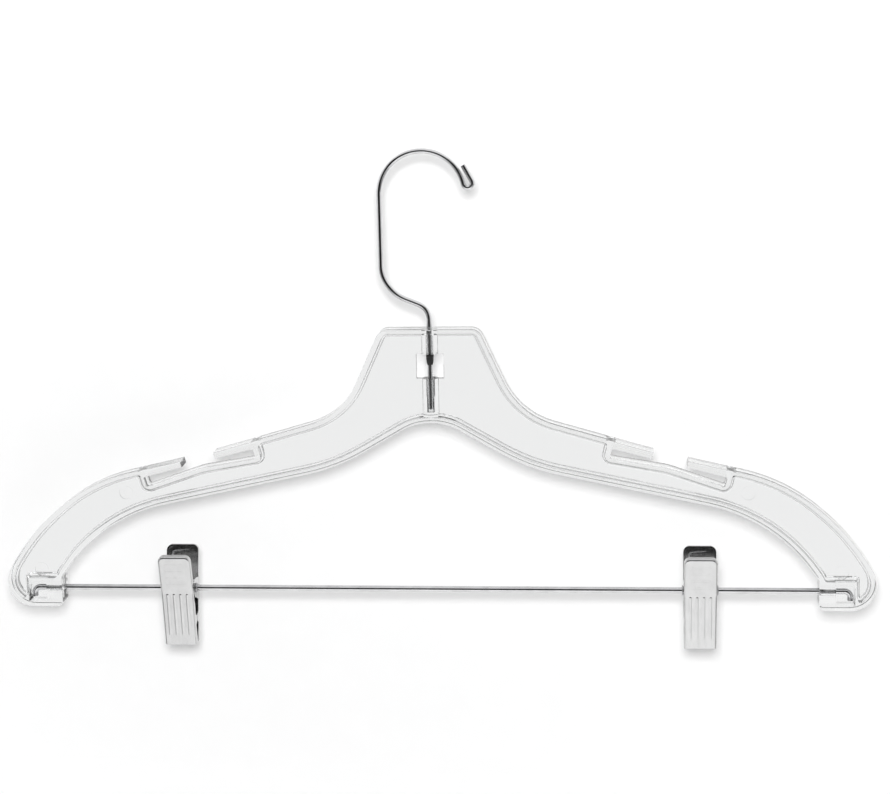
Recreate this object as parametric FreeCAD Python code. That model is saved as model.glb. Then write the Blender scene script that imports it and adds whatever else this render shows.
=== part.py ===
# Clear plastic suit hanger with a swivel wire hook, a wire bar and two sliding spring clips.
# Millimetres. X runs along the hanger, Y from front to back, Z up.
# The origin is the point inside the hook, on the swivel axis, where a rail carries the hanger.
import FreeCAD
import Part
import math
import os

Vector = FreeCAD.Vector

# Shoulder body
hanger_width = 432.0
body_height = 140.2
body_depth = 11.0
hook_seat_to_neck = 84.5
rim_width = 2.6
rim_root_radius = 1.5
rim_edge_radius = 0.5
web_thickness = 2.2
neck_width = 48.2
neck_corner_radius = 6.0
end_corner_radius = 12.5
lip_height = 8.7
lip_corner_radius = 3.0
end_reach = 27.6
end_throat_height = 15.2
end_throat_radius = 1.6
end_brow_height = 17.5
pocket_corner_radius = 1.6

# Strap notches
slot_inner_reach = 28.5
slot_outer_reach = 29.0
slot_corner_radius = 1.0
slot_floor_radius = 40.0
mouth_width = 17.4

# Hook boss and its window
boss_radius = 4.1
window_width = 13.4
window_height = 12.2
window_drop = 12.3
bore_end_gap = 1.6

# Bar sockets in the two ends
collar_length = 8.0
socket_length = 9.4
socket_height = 9.4
socket_floor = 2.4
socket_wall = 1.2
socket_back_wall = 2.0
ledge_height = 3.0

# Round ejector marks on the web
mark_radius = 3.4
mark_depth = 0.35

# Swivel hook
hook_wire = 2.5
hook_radius = 20.6
hook_leg_offset = 22.8
hook_rise = 4.4
hook_first_bend = 8.0
hook_second_bend = 18.0
hook_bend_angle = 68.0
hook_sweep_angle = 167.5
hook_return_radius = 2.2
hook_return_angle = 196.0
hook_tail = 8.6
shank_depth = 39.7
barb_radius = 1.9
barb_height = 5.6
barb_seat_gap = 0.3
swivel_clearance = 0.06

# Clip bar
bar_wire = 3.0
bar_bend_radius = 3.0
bar_tip_length = 1.6
bar_end_gap = 0.4
bar_socket_clearance = 0.06

# Spring clips
left_clip_place = -129.1
right_clip_place = 131.0
jaw_width = 16.2
jaw_foot_width = 15.8
jaw_above_bar = 20.8
jaw_below_bar = 28.4
jaw_sheet = 0.8
jaw_offset = 7.1
jaw_tilt = 6.8
grip_bend = 7.6
grip_bend_radius = 6.0
jaw_corner_radius = 3.0
jaw_foot_radius = 0.6
jaw_edge_radius = 1.0
jaw_flange_depth = 3.2
jaw_pinch_depth = 2.2
jaw_pinch_height = 9.6
jaw_pinch_slope = 1.7
jaw_gap = 0.3
ear_radius = 5.0
ear_gap = 0.3
ear_foot_above = 4.4
ear_foot_below = 7.4

# Pressed ribs on the jaws
grip_rib_radius = 3.0
grip_rib_proud = 0.04
grip_rib_length = 8.6
grip_rib_pitch = 3.8
grip_rib_count = 4
grip_rib_start = 5.1
jaw_rib_radius = 1.6
jaw_rib_proud = 0.12
jaw_rib_length = 21.5
jaw_rib_pitch = 3.3
jaw_rib_count = 4
jaw_rib_start = 0.8

# Jaw pads
pad_width = 13.0
pad_length = 20.0
pad_foot_gap = 0.8
pad_groove_pitch = 2.6
pad_groove_radius = 0.5
pad_groove_count = 7

# Pivot eyelets
eyelet_wall = 0.42
eyelet_clearance = 0.08
eyelet_head_width = 0.5
eyelet_head_thickness = 0.6
eyelet_end_play = 0.2

# Clip springs
spring_wire = 1.1
spring_radius = 3.2
spring_pitch = 1.75
spring_turns = 4
spring_leg = 17.3
spring_foot = 7.0
spring_foot_bend = 1.6
spring_leg_gap = 0.65

# Length by which every cutting shape runs past the face that it opens
overrun = 2.0

# Corners of the shoulders: outward share of half the width and downward share of the height
neck_foot_shares = (0.2009, 0.3014)
shoulder_bend_shares = (0.5394, 0.4508)
outer_shoulder_shares = (0.8005, 0.5432)
end_shoulder_shares = (0.9398, 0.7325)
under_shoulder_shares = (0.7745, 0.6719)
under_neck_shares = (0.219, 0.49)
arch_shares = (0.0366, 0.3281)

# How much of the shorter run beside it each of those corners takes for its bend
neck_foot_bend_share = 0.375
shoulder_bend_share = 0.322
outer_shoulder_bend_share = 0.55
end_shoulder_bend_share = 0.62
end_brow_bend_share = 0.28
under_shoulder_bend_share = 0.90
under_neck_bend_share = 0.346
arch_bend_share = 0.45

# Strap notches: shares of the height
finger_height_share = 0.02
slot_height_share = 0.0385
slot_floor_rise_share = 0.0171

# Ejector marks: outward share of half the width and downward share of the height
mark_places_shares = ((0.924, 0.869), (0.713, 0.585))

# Side walls of a jaw below the bar: downward shares of the length for the tooth's four corners
side_tooth_shares = (0.45, 0.50, 0.60, 0.65)

half_width = hanger_width / 2
half_depth = body_depth / 2
half_web = web_thickness / 2
neck_top = -hook_seat_to_neck
lip_bottom = neck_top - body_height
end_face = half_width - end_reach
finger_height = body_height * finger_height_share
slot_height = body_height * slot_height_share
slot_floor_rise = body_height * slot_floor_rise_share
bar_axis = Vector(0, 0, lip_bottom + lip_height)
bar_radius = bar_wire / 2
shank_radius = hook_wire / 2
eyelet_bore = bar_radius + eyelet_clearance
eyelet_radius = eyelet_bore + eyelet_wall
ear_hole = eyelet_radius + eyelet_clearance
outer_ear = jaw_width / 2 - jaw_sheet
inner_ear = outer_ear - ear_gap - jaw_sheet
along_x = Vector(1, 0, 0)
along_y = Vector(0, 1, 0)
along_z = Vector(0, 0, 1)
smallest_edge = bar_wire / 1e6


# Shapes shared by the pieces

def front_plane(depth):
    """Placer for the points of an outline seen from the front, at one depth."""
    return lambda point: Vector(point.x, depth, point.z)


def side_plane(place):
    """Placer for the points of an outline seen from the side, at one place along the bar."""
    return lambda point: Vector(place, point.x, point.z)


def rounded_wire(corners, plane):
    """Closed wire through corners (across, up, radius): straight runs joined by tangent arcs."""
    points = [Vector(across, 0, up) for across, up, radius in corners]
    count = len(corners)
    arcs = []
    for index, here in enumerate(points):
        back = (points[index - 1] - here).normalize()
        ahead = (points[(index + 1) % count] - here).normalize()
        half_turn = (math.pi - back.getAngle(ahead)) / 2
        radius = corners[index][2]
        reach = radius * math.tan(half_turn)
        inset = radius / math.cos(half_turn) - radius
        middle = here + (back + ahead).normalize() * inset
        arcs.append((here + back * reach, middle, here + ahead * reach))
    edges = []
    for index, (start, middle, end) in enumerate(arcs):
        if start.distanceToPoint(end) > smallest_edge:
            edges.append(Part.Arc(plane(start), plane(middle), plane(end)).toShape())
        following = arcs[(index + 1) % count][0]
        if end.distanceToPoint(following) > smallest_edge:
            edges.append(Part.LineSegment(plane(end), plane(following)).toShape())
    return Part.Wire(edges)


def front_block(corners, near, far):
    """Solid of a front outline between two depths."""
    face = Part.Face(rounded_wire(corners, front_plane(near)))
    return face.extrude(along_y * (far - near))


def side_block(corners, near, far):
    """Solid of a side outline between two places along the bar."""
    face = Part.Face(rounded_wire(corners, side_plane(near)))
    return face.extrude(along_x * (far - near))


def box_between(low, high):
    size = high - low
    return Part.makeBox(size.x, size.y, size.z, low)


def join(shapes):
    return shapes[0].fuse(shapes[1:]).removeSplitter()


def turned_path(start, heading, steps):
    """Wire in the front plane: each step is a (run, radius, turn) with the turn after the run."""
    edges = []
    here = start
    for run, radius, turn in steps:
        ahead = Vector(math.cos(heading), 0, math.sin(heading))
        if run > 0:
            edges.append(Part.LineSegment(here, here + ahead * run).toShape())
            here = here + ahead * run
        if turn:
            side = math.copysign(1, turn)
            centre = here + Vector(-math.sin(heading), 0, math.cos(heading)) * radius * side
            spots = []
            for share in (0.5, 1):
                angle = heading + turn * share
                spots.append(centre - Vector(-math.sin(angle), 0, math.cos(angle)) * radius * side)
            edges.append(Part.Arc(here, spots[0], spots[1]).toShape())
            here = spots[1]
            heading += turn
    return Part.Wire(edges)


def round_wire_along(path, radius):
    """Solid round wire whose middle follows a path."""
    first = path.OrderedEdges[0]
    start = first.valueAt(first.FirstParameter)
    ahead = first.tangentAt(first.FirstParameter)
    if first.Orientation == "Reversed":
        start = first.valueAt(first.LastParameter)
        ahead = first.tangentAt(first.LastParameter)
    section = Part.Wire([Part.Circle(start, ahead, radius).toShape()])
    return path.makePipeShell([section], True, False)


# Shoulder body

def shoulder_point(shares):
    outward, down = shares
    return Vector(half_width * outward, 0, neck_top - body_height * down)


def bend_radius(before, here, after, share):
    """Radius of a bend that takes one share of the shorter of the two runs beside it."""
    back = before - here
    ahead = after - here
    half_turn = (math.pi - back.getAngle(ahead)) / 2
    return share * min(back.Length, ahead.Length) / math.tan(half_turn)


def body_corners():
    """Outline of the body, from the neck out round the right end, back under it, then mirrored."""
    neck_side = Vector(neck_width / 2, 0, neck_top)
    neck_foot = shoulder_point(neck_foot_shares)
    shoulder_bend = shoulder_point(shoulder_bend_shares)
    outer_shoulder = shoulder_point(outer_shoulder_shares)
    end_shoulder = shoulder_point(end_shoulder_shares)
    end_brow = Vector(half_width, 0, lip_bottom + end_brow_height)
    end_corner = Vector(half_width, 0, lip_bottom)
    lip_corner = Vector(end_face, 0, lip_bottom)
    end_throat = Vector(end_face, 0, lip_bottom + end_throat_height)
    under_shoulder = shoulder_point(under_shoulder_shares)
    under_neck = shoulder_point(under_neck_shares)
    arch = shoulder_point(arch_shares)
    other_arch = Vector(-arch.x, 0, arch.z)
    bends = [
        (neck_side, neck_foot, shoulder_bend, neck_foot_bend_share),
        (neck_foot, shoulder_bend, outer_shoulder, shoulder_bend_share),
        (shoulder_bend, outer_shoulder, end_shoulder, outer_shoulder_bend_share),
        (outer_shoulder, end_shoulder, end_brow, end_shoulder_bend_share),
        (end_shoulder, end_brow, end_corner, end_brow_bend_share),
        (end_throat, under_shoulder, under_neck, under_shoulder_bend_share),
        (under_shoulder, under_neck, arch, under_neck_bend_share),
        (under_neck, arch, other_arch, arch_bend_share),
    ]
    bent = [(bend[1].x, bend[1].z, bend_radius(*bend)) for bend in bends]
    top = bent[:5]
    under = bent[5:]
    right = [(neck_side.x, neck_side.z, neck_corner_radius)] + top
    right.append((end_corner.x, end_corner.z, end_corner_radius))
    right.append((lip_corner.x, lip_corner.z, lip_corner_radius))
    right.append((end_throat.x, end_throat.z, end_throat_radius))
    right += under
    left = [(-across, up, radius) for across, up, radius in reversed(right)]
    return right + left


def notch_block(side, grow):
    """Strap slot with its mouth as a cutting shape, grown all round by one amount."""
    inner = shoulder_point(neck_foot_shares)
    middle = shoulder_point(shoulder_bend_shares)
    outer = shoulder_point(outer_shoulder_shares)
    along = ((middle - inner).normalize() + (outer - middle).normalize()).normalize()
    inward = Vector(along.z, 0, -along.x)

    def corner(reach, depth, radius):
        point = middle + along * reach + inward * depth
        return point.x * side, point.z, radius

    radius = slot_corner_radius + grow
    left = -slot_inner_reach - grow
    right = slot_outer_reach + grow
    top = finger_height - grow
    floor = finger_height + slot_height + grow
    slot = [
        corner(left, top, radius),
        corner(right, top, radius),
        corner(right, floor, radius),
        corner(0, floor - slot_floor_rise, slot_floor_radius - grow),
        corner(left, floor, radius),
    ]
    half_mouth = mouth_width / 2 + grow
    sky = -finger_height - overrun
    foot = finger_height + (slot_height - slot_floor_rise) / 2
    mouth = [
        corner(-half_mouth, sky, 0),
        corner(half_mouth, sky, 0),
        corner(half_mouth, foot, 0),
        corner(-half_mouth, foot, 0),
    ]
    past = half_depth + overrun
    return join([front_block(slot, -past, past), front_block(mouth, -past, past)])


def end_zone(side):
    """Zone round the bar at one end where the body stays thick."""
    past = half_depth + overrun
    outer = end_face + collar_length + socket_length + socket_wall
    low, high = sorted((end_face * side, outer * side))
    top = lip_bottom + socket_floor + socket_height + ledge_height
    return box_between(Vector(low, -past, lip_bottom), Vector(high, past, top))


def pocket():
    """Recess of the front face down to the web, with a rounded root along the rim."""
    outline = Part.Face(rounded_wire(body_corners(), front_plane(-half_web)))
    floor = outline.makeOffset2D(-rim_width)
    for side in (-1, 1):
        floor = floor.cut([notch_block(side, rim_width), end_zone(side)])
    shrunk = floor.Faces[0].makeOffset2D(-pocket_corner_radius)
    rounded = shrunk.makeOffset2D(pocket_corner_radius)
    recess = rounded.extrude(-along_y * (half_depth - half_web + overrun))
    root = []
    for edge in recess.Edges:
        if all(abs(vertex.Y + half_web) < smallest_edge for vertex in edge.Vertexes):
            root.append(edge)
    return recess.makeFillet(rim_root_radius, root)


def shank_bore():
    """Bore for the shank of the hook, from the neck down to its blind end."""
    radius = shank_radius + swivel_clearance
    depth = shank_depth + bore_end_gap
    return Part.makeCylinder(radius, depth + overrun, Vector(0, 0, neck_top - depth), along_z)


def hook_window():
    """Window across the boss that shows the barb of the hook."""
    past = half_depth + overrun
    top = neck_top - window_drop
    half = window_width / 2
    return box_between(Vector(-half, -past, top - window_height), Vector(half, past, top))


def bar_socket(side):
    """Collar bore for the bar and the open socket that holds its bent tip."""
    radius = bar_radius + bar_socket_clearance
    length = collar_length + socket_length
    outward = along_x * side
    start = bar_axis + outward * (end_face - overrun)
    bore = Part.makeCylinder(radius, collar_length + overrun * 2, start, outward)
    low, high = sorted(((end_face + collar_length) * side, (end_face + length) * side))
    floor = lip_bottom + socket_floor
    opening = box_between(Vector(low, -half_depth - overrun, floor),
                          Vector(high, half_depth - socket_back_wall, floor + socket_height))
    return join([bore, opening])


def ejector_marks(side):
    """Shallow round dents in the front of the web."""
    marks = []
    for outward, down in mark_places_shares:
        height = neck_top - body_height * down
        place = Vector(half_width * outward * side, -half_web - overrun, height)
        marks.append(Part.makeCylinder(mark_radius, overrun + mark_depth, place, along_y))
    return marks


def shoulder_body():
    body = front_block(body_corners(), -half_depth, half_depth)
    face_edges = [edge for edge in body.Edges if edge.BoundBox.YLength < smallest_edge]
    body = body.makeFillet(rim_edge_radius, face_edges)
    front = pocket()
    back = front.mirror(Vector(0, 0, 0), along_y)
    body = body.cut([front, back])
    arch_drop = body_height * arch_shares[1]
    boss_foot = Vector(0, 0, neck_top - arch_drop + rim_width / 2)
    boss = Part.makeCylinder(boss_radius, arch_drop - rim_width, boss_foot, along_z)
    body = body.fuse(boss)
    cuts = [shank_bore(), hook_window()]
    for side in (-1, 1):
        cuts.append(notch_block(side, 0))
        cuts.append(bar_socket(side))
        cuts += ejector_marks(side)
    return body.cut(cuts).removeSplitter()


# Swivel hook

def swivel_hook():
    """Bent wire with its shank in the neck, and the barb that keeps it there."""
    bend = math.radians(hook_bend_angle)
    bends = hook_first_bend + hook_second_bend
    slant = (hook_leg_offset - bends * (1 - math.cos(bend))) / math.sin(bend)
    centre_across = hook_radius - hook_leg_offset
    inside = hook_radius - shank_radius
    centre_height = -math.sqrt(inside ** 2 - centre_across ** 2)
    leg_start = neck_top + hook_rise + bends * math.sin(bend) + slant * math.cos(bend)
    path = turned_path(Vector(0, 0, neck_top - shank_depth), math.pi / 2, [
        (shank_depth + hook_rise, hook_first_bend, bend),
        (slant, hook_second_bend, -bend),
        (centre_height - leg_start, hook_radius, -math.radians(hook_sweep_angle)),
        (0, hook_return_radius, math.radians(hook_return_angle)),
        (hook_tail, 0, 0),
    ])
    wire = round_wire_along(path, shank_radius)
    barb_foot = Vector(0, 0, neck_top - window_drop - barb_seat_gap - barb_height)
    barb = Part.makeCone(shank_radius, barb_radius, barb_height, barb_foot, along_z)
    return wire.fuse(barb)


# Clip bar

def clip_bar():
    """Straight wire with both tips bent down inside the end sockets."""
    bend = math.pi / 2
    tip_place = end_face + collar_length + socket_length - bar_end_gap - bar_radius
    straight = (tip_place - bar_bend_radius) * 2
    start = Vector(-tip_place, 0, bar_axis.z - bar_bend_radius - bar_tip_length)
    path = turned_path(start, bend, [
        (bar_tip_length, bar_bend_radius, -bend),
        (straight, bar_bend_radius, -bend),
        (bar_tip_length, 0, 0),
    ])
    return round_wire_along(path, bar_radius)


# Spring clips, modelled with the bar axis along X through the origin

def flare(height):
    """How far the finger grip is bent outward at a height above the bar."""
    return max(height, 0) * math.tan(math.radians(grip_bend))


def jaw_outline(inset, foot):
    """Front outline of a jaw, straight above the bar and tapered below it."""
    half = jaw_width / 2 - inset
    foot_half = jaw_foot_width / 2 - inset
    top = jaw_above_bar - inset
    corner = jaw_corner_radius - inset
    right = [(half, top, corner), (half, 0, 0), (foot_half, -foot, jaw_foot_radius)]
    left = [(-across, up, radius) for across, up, radius in reversed(right)]
    return right + left


def jaw_side():
    """Side outline of a jaw: the pressing's depth at each height, pinched clear of the pivot."""
    outer = -jaw_offset - jaw_sheet
    flange = outer + jaw_flange_depth
    pinch = outer + jaw_pinch_depth
    half_pinch = jaw_pinch_height / 2
    shoulder = half_pinch + jaw_pinch_slope
    slope = math.tan(math.radians(jaw_tilt))

    def meeting(down):
        return -down * slope - jaw_gap

    tooth_top, tooth_start, tooth_end, tooth_foot = [
        jaw_below_bar * share for share in side_tooth_shares]
    return [
        (outer, 0, grip_bend_radius),
        (outer - flare(jaw_above_bar), jaw_above_bar, 0),
        (flange - flare(jaw_above_bar), jaw_above_bar, 0),
        (flange - flare(shoulder), shoulder, 0),
        (pinch - flare(half_pinch), half_pinch, 0),
        (pinch, 0, grip_bend_radius + jaw_pinch_depth),
        (pinch, -half_pinch, 0),
        (flange, -shoulder, 0),
        (flange, -tooth_top, 0),
        (meeting(tooth_start), -tooth_start, 0),
        (meeting(tooth_end), -tooth_end, 0),
        (flange, -tooth_foot, 0),
        (meeting(jaw_below_bar), -jaw_below_bar, 0),
        (outer, -jaw_below_bar, 0),
    ]


def jaw_ears(inner_face):
    """Pair of ears that reach from the jaw's plate to the pivot."""
    ears = []
    root = -jaw_offset - jaw_sheet / 2
    for place in (inner_face, -inner_face - jaw_sheet):
        arm = [
            (root - flare(ear_foot_above), ear_foot_above, 0),
            (0, ear_radius, 0),
            (0, -ear_radius, 0),
            (root, -ear_foot_below, 0),
            (root, 0, 0),
        ]
        ears.append(side_block(arm, place, place + jaw_sheet))
        ears.append(Part.makeCylinder(ear_radius, jaw_sheet, Vector(place, 0, 0), along_x))
    return ears


def pressed_rib(start, end, radius, proud):
    """Low round-ended rib that stands proud of a jaw's plate, rooted half way into the sheet."""
    sunk = along_y * (radius - proud)
    run = end - start
    whole = join([
        Part.makeCylinder(radius, run.Length, start + sunk, run),
        Part.makeSphere(radius, start + sunk),
        Part.makeSphere(radius, end + sunk),
    ])
    limits = whole.BoundBox
    root = limits.YMin + proud + jaw_sheet / 2
    low = Vector(limits.XMin, limits.YMin, limits.ZMin)
    return whole.common(box_between(low, Vector(limits.XMax, root, limits.ZMax)))


def jaw_ribs():
    """Short ribs across the finger grip and long ribs down the jaw."""
    depth = -jaw_offset - jaw_sheet
    ribs = []
    for index in range(grip_rib_count):
        height = grip_rib_start + grip_rib_pitch * index
        half = along_x * (grip_rib_length / 2)
        middle = Vector(0, depth - flare(height), height)
        ribs.append(pressed_rib(middle - half, middle + half, grip_rib_radius, grip_rib_proud))
    for index in range(jaw_rib_count):
        place = (index - (jaw_rib_count - 1) / 2) * jaw_rib_pitch
        top = Vector(place, depth, -jaw_rib_start)
        ribs.append(pressed_rib(top, top - along_z * jaw_rib_length, jaw_rib_radius, jaw_rib_proud))
    return ribs


def is_rolled(edge):
    """True for the outer edges of a jaw's plate, down both sides and over the top."""
    middle = edge.valueAt((edge.FirstParameter + edge.LastParameter) / 2)
    outer = -jaw_offset - jaw_sheet - flare(middle.z)
    if abs(middle.y - outer) > jaw_sheet / 2:
        return False
    if middle.z < jaw_foot_radius - jaw_below_bar:
        return False
    return abs(middle.x) > smallest_edge or jaw_above_bar - middle.z < smallest_edge


def jaw(inner_face):
    """Sheet metal jaw in front of the bar, upright, with its ears at one place along the bar."""
    past = jaw_offset + jaw_width
    block = front_block(jaw_outline(0, jaw_below_bar), -past, past)
    block = block.common(side_block(jaw_side(), -jaw_width, jaw_width))
    block = block.makeFillet(jaw_edge_radius, [edge for edge in block.Edges if is_rolled(edge)])
    top = jaw_above_bar + overrun
    foot = jaw_below_bar + overrun + jaw_foot_radius
    inside = [
        (-jaw_offset, 0, grip_bend_radius + jaw_sheet),
        (-jaw_offset - flare(top), top, 0),
        (past, top, 0),
        (past, -foot, 0),
        (-jaw_offset, -foot, 0),
    ]
    cavity = front_block(jaw_outline(jaw_sheet, foot), -past, past)
    cavity = cavity.common(side_block(inside, -jaw_width, jaw_width))
    body = join([block.cut(cavity)] + jaw_ears(inner_face) + jaw_ribs())
    bore_start = Vector(-jaw_width / 2 - overrun, 0, 0)
    return body.cut(Part.makeCylinder(ear_hole, jaw_width + overrun * 2, bore_start, along_x))


def jaw_pad():
    """Rubber wedge behind a jaw, with grooves across the face that grips the cloth."""
    slope = math.tan(math.radians(jaw_tilt))
    foot = jaw_below_bar - pad_foot_gap
    head = foot - pad_length

    def grip(down):
        return -down * slope - jaw_gap / 2

    corners = [
        (-jaw_offset, -head, 0),
        (grip(head), -head, 0),
        (grip(foot), -foot, 0),
        (-jaw_offset, -foot, 0),
    ]
    pad = side_block(corners, -pad_width / 2, pad_width / 2)
    grooves = []
    for index in range(pad_groove_count):
        down = foot - pad_groove_pitch * (index + 1)
        start = Vector(-pad_width / 2 - overrun, grip(down), -down)
        grooves.append(Part.makeCylinder(pad_groove_radius, pad_width + overrun * 2, start, along_x))
    return pad.cut(grooves)


def pivot_eyelet():
    """Hollow rivet through all four ears, with a rolled head at each end."""
    head_inside = jaw_width / 2 + eyelet_end_play
    half_length = head_inside + eyelet_head_thickness
    head_radius = eyelet_radius + eyelet_head_width
    start = -along_x * half_length
    pieces = [Part.makeCylinder(eyelet_radius, half_length * 2, start, along_x)]
    for place in (start, along_x * head_inside):
        pieces.append(Part.makeCylinder(head_radius, eyelet_head_thickness, place, along_x))
    bore_start = start - along_x * overrun
    bore = Part.makeCylinder(eyelet_bore, half_length * 2 + overrun * 2, bore_start, along_x)
    return join(pieces).cut(bore)


# Clip springs

def arc_between(start, meeting, end):
    """Arc from start to end whose end tangents cross at one point, equally far from both."""
    middle = (start + end) / 2
    rise = meeting - middle
    half = (end - start).Length / 2
    sagitta = half * math.tan(math.atan2(rise.Length, half) / 2)
    return Part.Arc(start, middle + rise.normalize() * sagitta, end).toShape()


def biarc(start, ahead, end, onward):
    """Two arcs, tangent to each other, from one point and direction to another."""
    run = end - start
    both = ahead + onward
    spread = 2 * (1 - ahead.dot(onward))
    lean = run.dot(both)
    reach = (math.sqrt(lean ** 2 + spread * run.dot(run)) - lean) / spread
    first = start + ahead * reach
    last = end - onward * reach
    joint = (first + last) / 2
    return [arc_between(start, first, joint), arc_between(joint, last, end)]


def coil_point(angle):
    """Point and heading of the coil at an angle from its middle, which is at its underside."""
    rise = spring_pitch / (2 * math.pi)
    phase = -math.pi / 2 - angle
    point = Vector(rise * angle, spring_radius * math.cos(phase), spring_radius * math.sin(phase))
    heading = Vector(rise, spring_radius * math.sin(phase), -spring_radius * math.cos(phase))
    return point, heading.normalize()


def half_turned(point):
    """The same point of the spring's other end, half a turn round the upright axis."""
    return Vector(-point.x, -point.y, point.z)


def spring_path():
    """Foot, leg, coil, leg and foot of a clip spring, as one run of lines and arcs."""
    leg_reach = spring_leg + spring_foot_bend
    free_gap = jaw_offset + flare(leg_reach) - spring_radius - spring_wire / 2
    lean = math.radians(jaw_tilt) + math.asin((free_gap - spring_leg_gap) / leg_reach)
    half_sweep = math.pi * (spring_turns + 0.5) - lean
    quarters = spring_turns * 4 + 2
    coil = []
    for index in range(quarters):
        angles = [half_sweep * (2 * step / quarters - 1) for step in (index, index + 1)]
        (start, ahead), (end, onward) = [coil_point(angle) for angle in angles]
        coil += biarc(start, ahead, end, onward)
    last, onward = coil_point(half_sweep)
    inward = (onward * onward.x - along_x).normalize()
    elbow = last + onward * spring_leg
    crook = elbow + onward * spring_foot_bend
    ankle = crook + inward * spring_foot_bend
    toe = ankle + inward * spring_foot
    first, elbow_back, crook_back, ankle_back, toe_back = [
        half_turned(point) for point in (last, elbow, crook, ankle, toe)]
    back_leg = [
        Part.LineSegment(toe_back, ankle_back).toShape(),
        arc_between(ankle_back, crook_back, elbow_back),
        Part.LineSegment(elbow_back, first).toShape(),
    ]
    front_leg = [
        Part.LineSegment(last, elbow).toShape(),
        arc_between(elbow, crook, ankle),
        Part.LineSegment(ankle, toe).toShape(),
    ]
    return Part.Wire(back_leg + coil + front_leg)


def least_gap(path, wire):
    """Least gap of a wound wire to itself, between points over half a turn apart."""
    step = wire / 4
    points = path.discretize(Distance=step)
    apart = int(math.pi * spring_radius / step)
    nearest = min(point.distanceToPoint(other)
                  for index, point in enumerate(points)
                  for other in points[index + apart:])
    return nearest - wire


def clip_spring():
    path = spring_path()
    print("least gap of a clip spring to itself: %.2f mm" % least_gap(path, spring_wire))
    return round_wire_along(path, spring_wire / 2)


# Assembly

def tilted(shape):
    """A front piece of a clip, leaned until its foot meets the middle of the clip."""
    return shape.rotated(Vector(0, 0, 0), along_x, jaw_tilt)


def behind(shape):
    """A front piece of a clip turned round to the back."""
    return shape.rotated(Vector(0, 0, 0), along_z, 180)


def clip_pieces():
    pad = tilted(jaw_pad())
    return {
        "pivot_eyelet": pivot_eyelet(),
        "clip_spring": clip_spring(),
        "rear_jaw": behind(tilted(jaw(outer_ear))),
        "rear_pad": behind(pad),
        "front_jaw": tilted(jaw(inner_ear)),
        "front_pad": pad,
    }


def main():
    pieces = {
        "shoulder_body": shoulder_body(),
        "swivel_hook": swivel_hook(),
        "clip_bar": clip_bar(),
    }
    clip = clip_pieces()
    for side, place in (("left", left_clip_place), ("right", right_clip_place)):
        for name, shape in clip.items():
            pieces[side + "_" + name] = shape.translated(bar_axis + along_x * place)
    os.makedirs("parts", exist_ok=True)
    for name, shape in pieces.items():
        shape.exportStep(os.path.join("parts", name + ".step"))


main()
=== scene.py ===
"""Clear plastic suit hanger with a swivel wire hook, a wire bar and two sliding spring clips.

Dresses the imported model: clear moulded shoulders, drawn wire, pressed steel jaws, coiled springs
and rubber pads, in front of a white backdrop that runs into a pale floor. Metres, in the frame of the model.
"""

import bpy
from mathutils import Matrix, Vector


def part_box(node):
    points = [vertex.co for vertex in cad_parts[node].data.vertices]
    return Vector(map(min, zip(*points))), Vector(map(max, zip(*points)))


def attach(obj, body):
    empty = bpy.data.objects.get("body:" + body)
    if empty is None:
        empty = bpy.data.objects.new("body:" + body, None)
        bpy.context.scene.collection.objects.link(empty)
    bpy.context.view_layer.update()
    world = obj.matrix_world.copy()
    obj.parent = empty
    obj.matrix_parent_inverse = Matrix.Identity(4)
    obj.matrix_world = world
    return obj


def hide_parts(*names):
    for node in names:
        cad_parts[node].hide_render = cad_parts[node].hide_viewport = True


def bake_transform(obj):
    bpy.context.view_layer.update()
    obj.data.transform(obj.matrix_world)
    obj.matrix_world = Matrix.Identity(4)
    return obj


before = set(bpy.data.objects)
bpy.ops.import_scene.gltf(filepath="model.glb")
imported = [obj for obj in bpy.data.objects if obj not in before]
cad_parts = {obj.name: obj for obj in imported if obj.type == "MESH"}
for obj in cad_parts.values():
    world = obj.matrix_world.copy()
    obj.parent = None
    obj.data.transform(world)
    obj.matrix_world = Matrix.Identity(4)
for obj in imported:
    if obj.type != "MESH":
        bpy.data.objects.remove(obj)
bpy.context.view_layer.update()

import math

import bmesh
import bpy
from mathutils import Matrix, Vector

bl_info = {
    "name": "Clear Suit Hanger",
    "version": (1, 0, 0),
    "blender": (4, 5, 0),
    "location": "3D View > Sidebar > Hanger",
    "description": "Dresses a clear suit hanger with a swivel hook, a wire bar and two spring clips",
    "category": "Object",
}

MM = 0.001
SIDES = ("left", "right")
JAWS = ("front", "rear")
ALONG_X = Vector((1, 0, 0))
UPWARD = Vector((0, 0, 1))
BAR_WIRE = 3.0
WIRE_SIDES = 28
SPRING_SIDES = 16
ARC_STEPS = 12
STAGE_MIDDLE = Vector((0, 0, -0.12))

# Depth of light that has only passed through the plastic, at a surface and outside the stage
PASS_DEPTH = 2
PASS_DEPTH_OUTSIDE = 3

body_low, body_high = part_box("shoulder_body")
bar_low, bar_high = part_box("clip_bar")


def length(name, description, millimetres):
    """Property that holds one length of the hanger."""
    return bpy.props.FloatProperty(name=name, description=description, default=millimetres * MM,
                                   unit="LENGTH", precision=5)


def degrees(name, description, value):
    """Property that holds one angle."""
    return bpy.props.FloatProperty(name=name, description=description, default=math.radians(value),
                                   subtype="ANGLE")


def colour(name, description, value):
    """Property that holds one colour."""
    return bpy.props.FloatVectorProperty(name=name, description=description, default=value,
                                         subtype="COLOR", size=3, min=0, max=1)


def share(name, description, value):
    """Property that holds a share between none and all."""
    return bpy.props.FloatProperty(name=name, description=description, default=value,
                                   subtype="FACTOR", min=0, max=1)


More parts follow.
